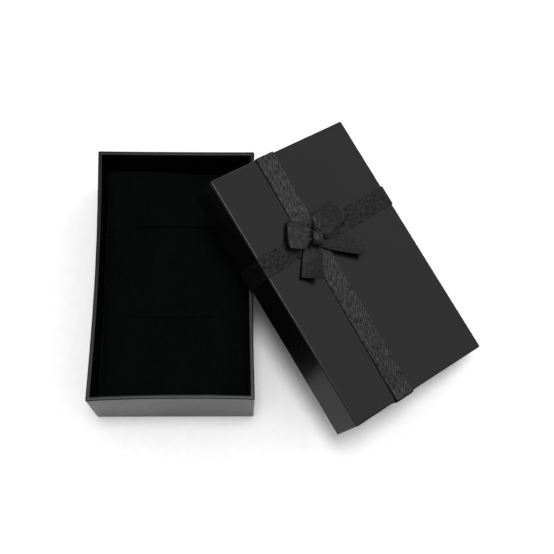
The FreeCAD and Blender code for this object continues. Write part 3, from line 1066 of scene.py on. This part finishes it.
knot_low, knot_high = box_in_lid("bow_knot")
tails_low, tails_high = box_in_lid("bow_tails")
glue_low, glue_high = box_in_lid("bow_glue")
BOW_CENTRE = (knot_low + knot_high) / 2
BOW_THICK = tails_high[2] - tails_low[2]
NECK_HEIGHT = BOW_CENTRE[2]
BOW_ACROSS = 14
DENT_SIZE = 2.6 * MM


def turned(origin, angle, along, across, height):
    """A point of the bow, from a distance along a direction in the lid's top and one across it."""
    cos, sin = math.cos(math.radians(angle)), math.sin(math.radians(angle))
    return (origin[0] + along * cos - across * sin, origin[1] + along * sin + across * cos, height)


def crumpled(spot, depth, size=DENT_SIZE):
    """A point of the bow with soft uneven dents, the same every time."""
    return (spot[0], spot[1], spot[2] + depth * noise.noise(Vector(spot) / size))


LOOP_ROWS = 44
LOOP_START = 0.3 * MM
LOOP_PLEAT = 0.32 * MM
LOOP_CUP = 0.28 * MM
LOOP_CUP_BELOW = -0.4  # the lower layer's cup, against the upper layer's
LOOP_DENT = 0.22 * MM


def make_loop(neck, angle, reach, near_half, far_half, gather, fold_height, rise, splay, tilt,
              rounding, lean):
    """One loop of the bow: out from the neck low down, folded over, and back above.

    neck is how far from the knot's middle it leaves. near_half and far_half are half its width
    at the neck and at its fold, and gather is how far out its pleats run. rise and splay are how
    far its two layers part upwards and sideways. tilt is how much further its left edge reaches,
    lean how much higher that edge stands, and rounding how much its fold bows.
    """
    middle = (BOW_CENTRE[0] + neck[0], BOW_CENTRE[1] + neck[1])
    start = turned(middle, angle, LOOP_START, 0, 0)
    rows = []
    for step in range(LOOP_ROWS + 1):
        phase = math.pi * (2 * step / LOOP_ROWS - 1)
        out = (1 + math.cos(phase)) / 2
        open_share = smooth(out * reach / gather)
        half = near_half + (far_half - near_half) * open_share
        layer = 1 if phase > 0 else LOOP_CUP_BELOW
        row = []
        for across in side_to_side(BOW_ACROSS):
            along = out * (reach + tilt * across - rounding * across ** 4)
            height = NECK_HEIGHT + (fold_height - NECK_HEIGHT) * smooth(out)
            height += rise * math.sin(phase) * (0.55 + 0.45 * out)
            height += LOOP_PLEAT * (1 - open_share) * math.cos(3 * math.pi * across)
            height -= LOOP_CUP * open_share * across ** 2 * layer
            height += lean * across * open_share
            sideways = half * across + splay * math.sin(phase) * open_share
            spot = turned(start, angle, along, sideways, height)
            row.append(crumpled(spot, LOOP_DENT))
        rows.append(row)
    return rows


TAIL_ROWS = 26
TAIL_START = 0.4 * MM
TAIL_OPEN = 0.35  # the share of its length in which a tail opens to its full width
TAIL_PLEAT = 0.25 * MM
TAIL_DENT = 0.12 * MM


def make_tail(angle, length, near_half, half, cut, lift, cup, curl, side_lift):
    """One tail: from under the knot, opening to full width, lying out over the lid.

    near_half and half are half its width at the knot and further out. cut slants its end, lift
    raises its end, cup raises both edges, side_lift one of them, and curl bends the end.
    """
    start = turned(BOW_CENTRE, angle, TAIL_START, 0, 0)
    rows = []
    for step in range(TAIL_ROWS + 1):
        out = step / TAIL_ROWS
        open_share = smooth(out / TAIL_OPEN)
        width = near_half + (half - near_half) * open_share
        row = []
        for across in side_to_side(BOW_ACROSS):
            along = out * (length + cut * across)
            height = tails_low[2] + BOW_THICK / 2
            height += (lift * out ** 2 + cup * open_share * across ** 2)
            height += side_lift * open_share * out * across + curl * out ** 3
            height += TAIL_PLEAT * (1 - open_share) * math.cos(2 * math.pi * across)
            spot = turned(start, angle, along, width * across, height)
            row.append(crumpled(spot, TAIL_DENT))
        rows.append(row)
    return rows


KNOT_ROWS = 36
KNOT_PINCH = 0.22
KNOT_FOLDS = 0.06
KNOT_DENT = 0.15 * MM
KNOT_DENT_SIZE = 1.5 * MM


def make_knot_rows(angle, width, half_across, half_high):
    """The short strip wound once round the neck, pinched at its edges."""
    rows = []
    for step in range(KNOT_ROWS):
        phase = 2 * math.pi * step / KNOT_ROWS
        row = []
        for along in side_to_side(BOW_ACROSS):
            folds = KNOT_FOLDS * math.cos(2.5 * math.pi * along + 0.8)
            swell = 1 - KNOT_PINCH * along ** 2 + folds
            sideways = half_across * swell * math.cos(phase)
            height = NECK_HEIGHT + half_high * swell * math.sin(phase)
            spot = turned(BOW_CENTRE, angle, along * width / 2, sideways, height)
            row.append(crumpled(spot, KNOT_DENT, KNOT_DENT_SIZE))
        rows.append(row)
    return rows


def add_bow_strip(name, parts, replaced):
    """Several bands of one strip of the bow's ribbon, as one piece."""
    made = [
        add_strip("%s_%d" % (name, number), rows, BOW_THICK, BOW_SATIN, "bow_ribbon", [])
        for number, rows in enumerate(parts)
    ]
    whole = bmesh.new()
    for piece in made:
        whole.from_mesh(piece.data)
    for piece in made:
        bpy.data.objects.remove(piece)
    add_piece(name, whole, "lid", "bow_ribbon", BOW_SATIN, [replaced], LID_FRAME, sharp=60)


def make_bow():
    """The bow, in the photo's order: left and right loop, left and right tail, and the knot."""
    loops = [
        make_loop(
            neck=(-0.2 * MM, 0.8 * MM), angle=149, reach=7.6 * MM, near_half=1.6 * MM,
            far_half=4.2 * MM, gather=3.6 * MM, fold_height=LID_HEIGHT + 1.35 * MM,
            rise=0.75 * MM, splay=0.4 * MM, tilt=0.1 * MM, rounding=0.4 * MM, lean=0.4 * MM),
        make_loop(
            neck=(0.8 * MM, 1.4 * MM), angle=14, reach=11.8 * MM, near_half=1.3 * MM,
            far_half=3.7 * MM, gather=3.0 * MM, fold_height=LID_HEIGHT + 2.0 * MM,
            rise=1.4 * MM, splay=0.5 * MM, tilt=0.3 * MM, rounding=2.2 * MM, lean=0),
    ]
    add_bow_strip("bow_loop_strip", loops, "bow_loops")
    tails = [
        make_tail(
            angle=231, length=12.1 * MM, near_half=1.8 * MM, half=2.9 * MM, cut=-0.1 * MM,
            lift=0.7 * MM, cup=0.2 * MM, curl=0.3 * MM, side_lift=1.1 * MM),
        make_tail(
            angle=-36, length=15.7 * MM, near_half=1.8 * MM, half=2.5 * MM, cut=0.2 * MM,
            lift=0.2 * MM, cup=0.5 * MM, curl=0.3 * MM, side_lift=-0.6 * MM),
    ]
    add_bow_strip("bow_tail_strip", tails, "bow_tails")
    rows = make_knot_rows(angle=-24, width=3.0 * MM, half_across=2.5 * MM, half_high=1.55 * MM)
    add_strip("bow_knot_wrap", rows, BOW_THICK, BOW_SATIN, "bow_ribbon", ["bow_knot"], joined=True)


GLUE_UNEVEN = 0.12
GLUE_FLATNESS = 0.5


def make_glue_dot():
    """A flattened, uneven drop between the crossed ribbons and the bow."""
    bm = bmesh.new()
    bmesh.ops.create_icosphere(bm, subdivisions=4, radius=1)
    centre = Vector((glue_low + glue_high) / 2)
    half = Vector((glue_high - glue_low) / 2)
    for vertex in bm.verts:
        uneven = 1 + GLUE_UNEVEN * noise.noise(vertex.co * 2)
        flat = Vector((vertex.co.x * uneven, vertex.co.y * uneven, vertex.co.z))
        flat.z = math.copysign(abs(flat.z) ** GLUE_FLATNESS, flat.z)
        vertex.co = centre + Vector(flat[axis] * half[axis] for axis in range(3))
    add_piece("glue_dot", bm, "lid", "glue", GLUE, ["bow_glue"], LID_FRAME)


make_bow()
make_glue_dot()


# ---- floor, light and camera


def look_along(thing, location, direction, roll=0):
    """Places a camera or light at location, looking along direction, rolled in degrees."""
    turn = Vector(direction).to_track_quat("-Z", "Y").to_matrix().to_4x4()
    thing.matrix_world = (
        Matrix.Translation(location) @ turn @ Matrix.Rotation(math.radians(roll), 4, "Z"))


FLOOR_HALF = 3
FLOOR_DROP = 0.1 * MM  # below the object, so that nothing flickers where they meet


def make_floor():
    """A plain pale floor."""
    bm = bmesh.new()
    bmesh.ops.create_grid(bm, x_segments=8, y_segments=8, size=FLOOR_HALF)
    floor = add_object("floor", make_mesh("floor", bm, make_floor_material()))
    floor.location.z = -FLOOR_DROP


SKY_LOW, SKY_HIGH = 0.22, 1.16
SKY_EDGES = (0.05, 0.62)  # how high a direction points where the sky starts and ends to brighten
BACKDROP = 1.1
WHITE = (1, 1, 1, 1)


def make_world():
    """A white studio. As light it is dim near the floor and bright overhead; seen, it is white."""
    world = bpy.data.worlds.new("studio")
    world.use_nodes = True
    tree = world.node_tree
    link = tree.links.new
    sky = tree.nodes["Background"]
    sky.inputs["Color"].default_value = WHITE
    parts = add_node(tree, "SeparateXYZ")
    link(add_node(tree, "TexCoord").outputs["Generated"], parts.inputs["Vector"])
    strength = add_node(
        tree, "MapRange", From_Min=SKY_EDGES[0], From_Max=SKY_EDGES[1], To_Min=SKY_LOW,
        To_Max=SKY_HIGH)
    link(parts.outputs["Z"], strength.inputs["Value"])
    link(strength.outputs["Result"], sky.inputs["Strength"])
    backdrop = add_node(tree, "Background", Color=WHITE, Strength=BACKDROP)
    either = add_node(tree, "MixShader")
    link(add_node(tree, "LightPath").outputs["Is Camera Ray"], either.inputs[0])
    link(sky.outputs["Background"], either.inputs[1])
    link(backdrop.outputs["Background"], either.inputs[2])
    link(either.outputs["Shader"], tree.nodes["World Output"].inputs["Surface"])
    scene.world = world


def add_light(name, kind, centre, direction, distance):
    """A light that shines on centre from a distance in a direction."""
    data = bpy.data.lights.new(name, kind)
    toward = Vector(direction).normalized()
    look_along(add_object(name, data), centre + toward * distance, -toward)
    return data


KEY_DIRECTION = (0.02, 0.01, 1.0)
KEY_WIDTH = 20  # degrees across, as seen from the object
KEY_STRENGTH = 2.6
SIDE_DIRECTION = (0.65, 0.30, 0.70)
SIDE_DISTANCE = 1.2
SIDE_SIZE = 1.1
SIDE_RADIANCE = 1.15


def make_light():
    """The sky, a round soft light overhead, and a weaker square one high on the right."""
    make_world()
    key = add_light("key", "SUN", Vector((0, 0, 0)), KEY_DIRECTION, 1)
    key.angle = math.radians(KEY_WIDTH)
    key.energy = KEY_STRENGTH
    side = add_light("side", "AREA", (cad_low + cad_high) / 2, SIDE_DIRECTION, SIDE_DISTANCE)
    side.shape = "SQUARE"
    side.size = SIDE_SIZE
    side.energy = SIDE_RADIANCE * SIDE_SIZE * SIDE_SIZE * math.pi


CAMERA_AIM = Vector((30.98 * MM, 6.30 * MM, 0))
CAMERA_DISTANCE = 333.9 * MM
CAMERA_ELEVATION = 70.26
CAMERA_AZIMUTH = 5.65
CAMERA_ROLL = 5.46
CAMERA_LENS = 68.56
CAMERA_SENSOR = 36
CAMERA_CLIP = (0.01, 20)


def make_camera():
    """The camera where the photo's was: nearly overhead, from in front."""
    data = bpy.data.cameras.new("camera")
    data.lens = CAMERA_LENS
    data.sensor_width = CAMERA_SENSOR
    data.clip_start, data.clip_end = CAMERA_CLIP
    camera = add_object("camera", data)
    azimuth = math.radians(CAMERA_AZIMUTH)
    elevation = math.radians(CAMERA_ELEVATION)
    direction = Vector((
        math.sin(azimuth) * math.cos(elevation),
        math.cos(azimuth) * math.cos(elevation),
        -math.sin(elevation),
    ))
    look_along(camera, CAMERA_AIM - direction * CAMERA_DISTANCE, direction, CAMERA_ROLL)
    bpy.context.scene.camera = camera


make_floor()
make_light()
make_camera()
scene.view_settings.view_transform = "Standard"
